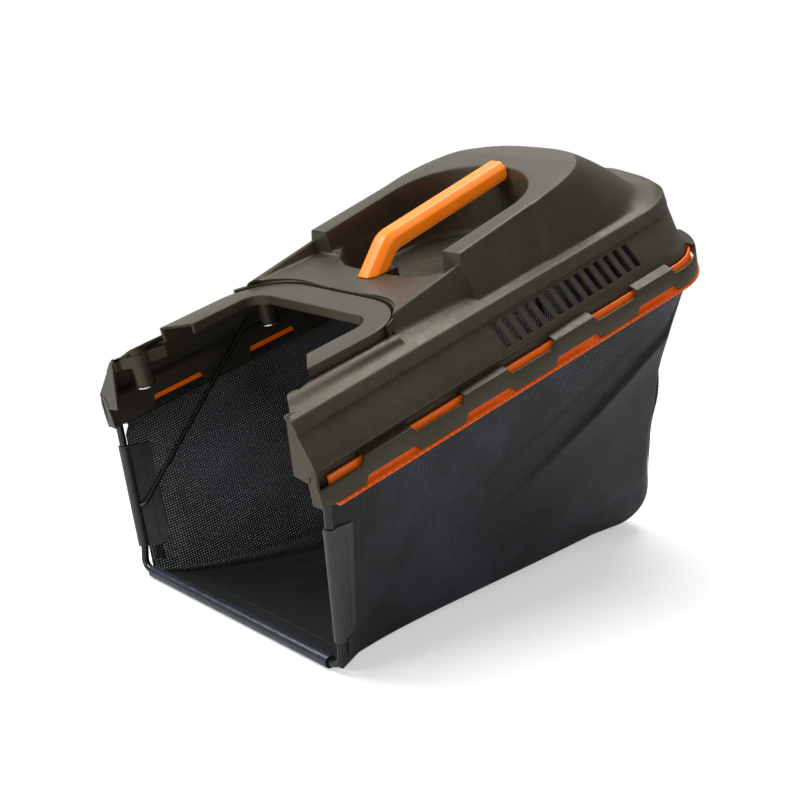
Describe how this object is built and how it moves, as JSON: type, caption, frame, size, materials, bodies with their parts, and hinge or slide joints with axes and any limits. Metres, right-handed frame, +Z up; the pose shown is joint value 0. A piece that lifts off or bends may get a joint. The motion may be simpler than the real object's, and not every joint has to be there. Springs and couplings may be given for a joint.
{
  "type": "grass catcher",
  "caption": "Mower grass catcher: moulded cover with notch, humped ridge and carrying handle, clamped over a tapering mesh bag on a bent tube mouth frame.",
  "frame": {"origin": "middle of the bounding box's footprint, on the ground the bag's floor and front bar stand on", "axes": "+Z up, +Y towards the closed rear of the bag, so the open mouth and the notch face -Y, +X towards the catcher's side that the picture shows in full"},
  "size_m": [0.414, 0.6742, 0.4951],
  "materials": {
    "bar_sleeve_fabric": "smooth coated dark grey cloth",
    "brace_paint_left": "gloss black powder paint",
    "brace_paint_right": "gloss black powder paint",
    "clamp_plastic": "satin orange moulded plastic",
    "floor_fabric": "smooth coated black cloth",
    "frame_paint": "gloss black powder paint",
    "handle_plastic": "satin orange moulded plastic",
    "handle_screw_steel": "bright zinc plated",
    "mesh_fabric_left": "open black woven polyester mesh",
    "mesh_fabric_rear": "open black woven polyester mesh",
    "mesh_fabric_right": "open black woven polyester mesh",
    "moulded_cover_plastic": "fine-grained olive grey moulded plastic",
    "screw_steel": "bright zinc plated",
    "sleeve_fabric_left": "close-woven dark grey sleeve cloth with one stitched line",
    "sleeve_fabric_right": "close-woven dark grey sleeve cloth with one stitched line",
    "washer_steel": "bright zinc plated",
    "webbing_fabric_left": "stitched dark webbing",
    "webbing_fabric_right": "stitched dark webbing"
  },
  "bodies": {
    "root": {"bar_sleeve": "bar_sleeve_fabric", "boss_screw_front_left": "screw_steel", "boss_screw_front_right": "screw_steel", "boss_screw_rear_left": "screw_steel", "boss_screw_rear_right": "screw_steel", "boss_washer_front_left": "washer_steel", "boss_washer_front_right": "washer_steel", "boss_washer_rear_left": "washer_steel", "boss_washer_rear_right": "washer_steel", "brace_left": "brace_paint_left", "brace_right": "brace_paint_right", "carry_handle": "handle_plastic", "clamp_frame": "clamp_plastic", "corner_webbing_left": "webbing_fabric_left", "corner_webbing_right": "webbing_fabric_right", "floor_sheet": "floor_fabric", "handle_screw_front": "handle_screw_steel", "handle_screw_rear": "handle_screw_steel", "mesh_rear": "mesh_fabric_rear", "mesh_side_left": "mesh_fabric_left", "mesh_side_right": "mesh_fabric_right", "mouth_frame": "frame_paint", "top_cover": "moulded_cover_plastic", "upright_sleeve_left": "sleeve_fabric_left", "upright_sleeve_right": "sleeve_fabric_right"}
  },
  "joints": []
}
